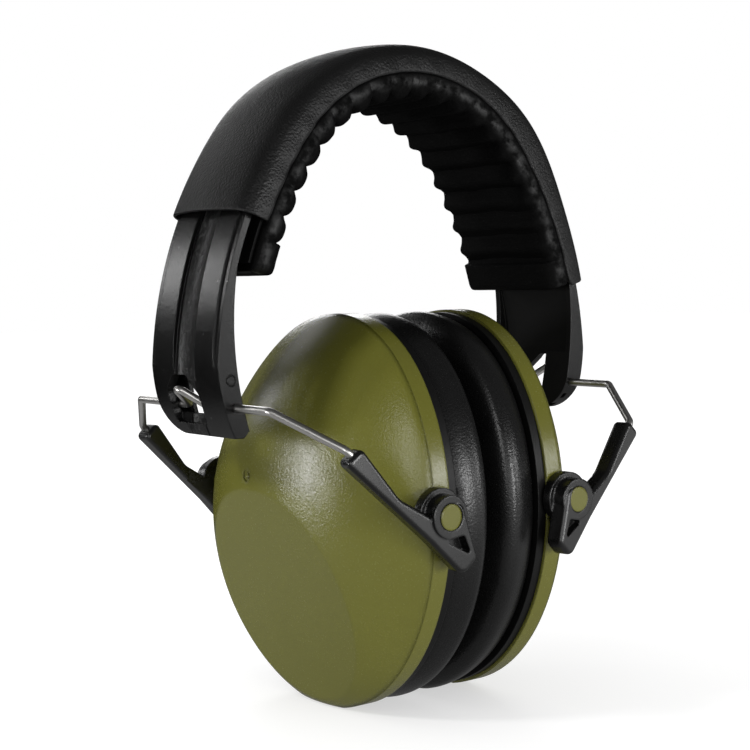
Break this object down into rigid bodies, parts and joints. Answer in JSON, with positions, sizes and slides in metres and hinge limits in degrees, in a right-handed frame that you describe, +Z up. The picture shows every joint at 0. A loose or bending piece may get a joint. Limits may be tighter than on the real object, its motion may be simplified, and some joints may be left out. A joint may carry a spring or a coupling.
{
  "type": "earmuff hearing protector",
  "caption": "Over-the-head earmuff: padded headband, curved sliding arms, bent wire yokes with pivoting levers, and tilting oval ear cups with soft cushions.",
  "frame": {"origin": "on the surface it stands on, midway between the two cups and midway between the front and rear pins", "axes": "+Z up towards the top of the headband, X across the head from the left cup (-X) to the right cup (+X), +Y towards the rear levers"},
  "size_m": [0.1258, 0.1072, 0.1713],
  "materials": {
    "cover_leatherette": "smooth black leatherette, fine grain",
    "lining_leatherette": "black leatherette gathered into cross ribs",
    "cushion_leatherette": "soft black leatherette, satin",
    "foam": "open-cell foam",
    "band_spring": "spring plastic strip, hidden",
    "guide_plastic": "black moulded sleeve, hidden",
    "arm_plastic": "black moulded plastic, satin gloss",
    "lever_plastic": "black moulded plastic, satin gloss",
    "wire_steel": "bright drawn stainless wire",
    "cup_plastic": "olive green glossy plastic with fine dark speckle",
    "plate_plastic": "black hard plastic",
    "absorber": "charcoal absorber foam"
  },
  "bodies": {
    "headband": {"headband_cover": "cover_leatherette", "headband_lining": "lining_leatherette", "headband_foam": "foam", "headband_core": "band_spring", "headband_top_pad": "foam", "left_slide_guide": "guide_plastic", "right_slide_guide": "guide_plastic"},
    "left_arm_body": {"left_arm": "arm_plastic"},
    "left_yoke": {"left_wire": "wire_steel", "left_front_lever": "lever_plastic", "left_rear_lever": "lever_plastic"},
    "left_cup": {"left_cup_shell": "cup_plastic", "left_rim_ring": "cup_plastic", "left_back_plate": "plate_plastic", "left_cushion_clip": "plate_plastic", "left_cushion_foam": "foam", "left_cushion_skin": "cushion_leatherette", "left_absorber_foam": "absorber"},
    "right_arm_body": {"right_arm": "arm_plastic"},
    "right_yoke": {"right_wire": "wire_steel", "right_front_lever": "lever_plastic", "right_rear_lever": "lever_plastic"},
    "right_cup": {"right_cup_shell": "cup_plastic", "right_rim_ring": "cup_plastic", "right_back_plate": "plate_plastic", "right_cushion_clip": "plate_plastic", "right_cushion_foam": "foam", "right_cushion_skin": "cushion_leatherette", "right_absorber_foam": "absorber"}
  },
  "joints": [
    {"name": "left_arm_slide", "type": "hinge", "parent": "headband", "child": "left_arm_body", "pos_m": [0.0465, 0, 0.08382], "axis": [0, 1, 0], "range_deg": [0, 8]},
    {"name": "left_yoke_swing", "type": "hinge", "parent": "left_arm_body", "child": "left_yoke", "pos_m": [-0.0563, 0, 0.08052], "axis": [0, 1, 0], "range_deg": [0, 13]},
    {"name": "left_cup_tilt", "type": "hinge", "parent": "left_yoke", "child": "left_cup", "pos_m": [-0.02106, 0, 0.05452], "axis": [0, 1, 0], "range_deg": [-8, 8]},
    {"name": "right_arm_slide", "type": "hinge", "parent": "headband", "child": "right_arm_body", "pos_m": [-0.0465, 0, 0.08382], "axis": [0, -1, 0], "range_deg": [0, 8]},
    {"name": "right_yoke_swing", "type": "hinge", "parent": "right_arm_body", "child": "right_yoke", "pos_m": [0.0563, 0, 0.08052], "axis": [0, -1, 0], "range_deg": [0, 13]},
    {"name": "right_cup_tilt", "type": "hinge", "parent": "right_yoke", "child": "right_cup", "pos_m": [0.02106, 0, 0.05452], "axis": [0, 1, 0], "range_deg": [-8, 8]}
  ],
  "couplings": [
    {"joint": "right_cup_tilt", "follows": "left_cup_tilt", "ratio": 1}
  ]
}
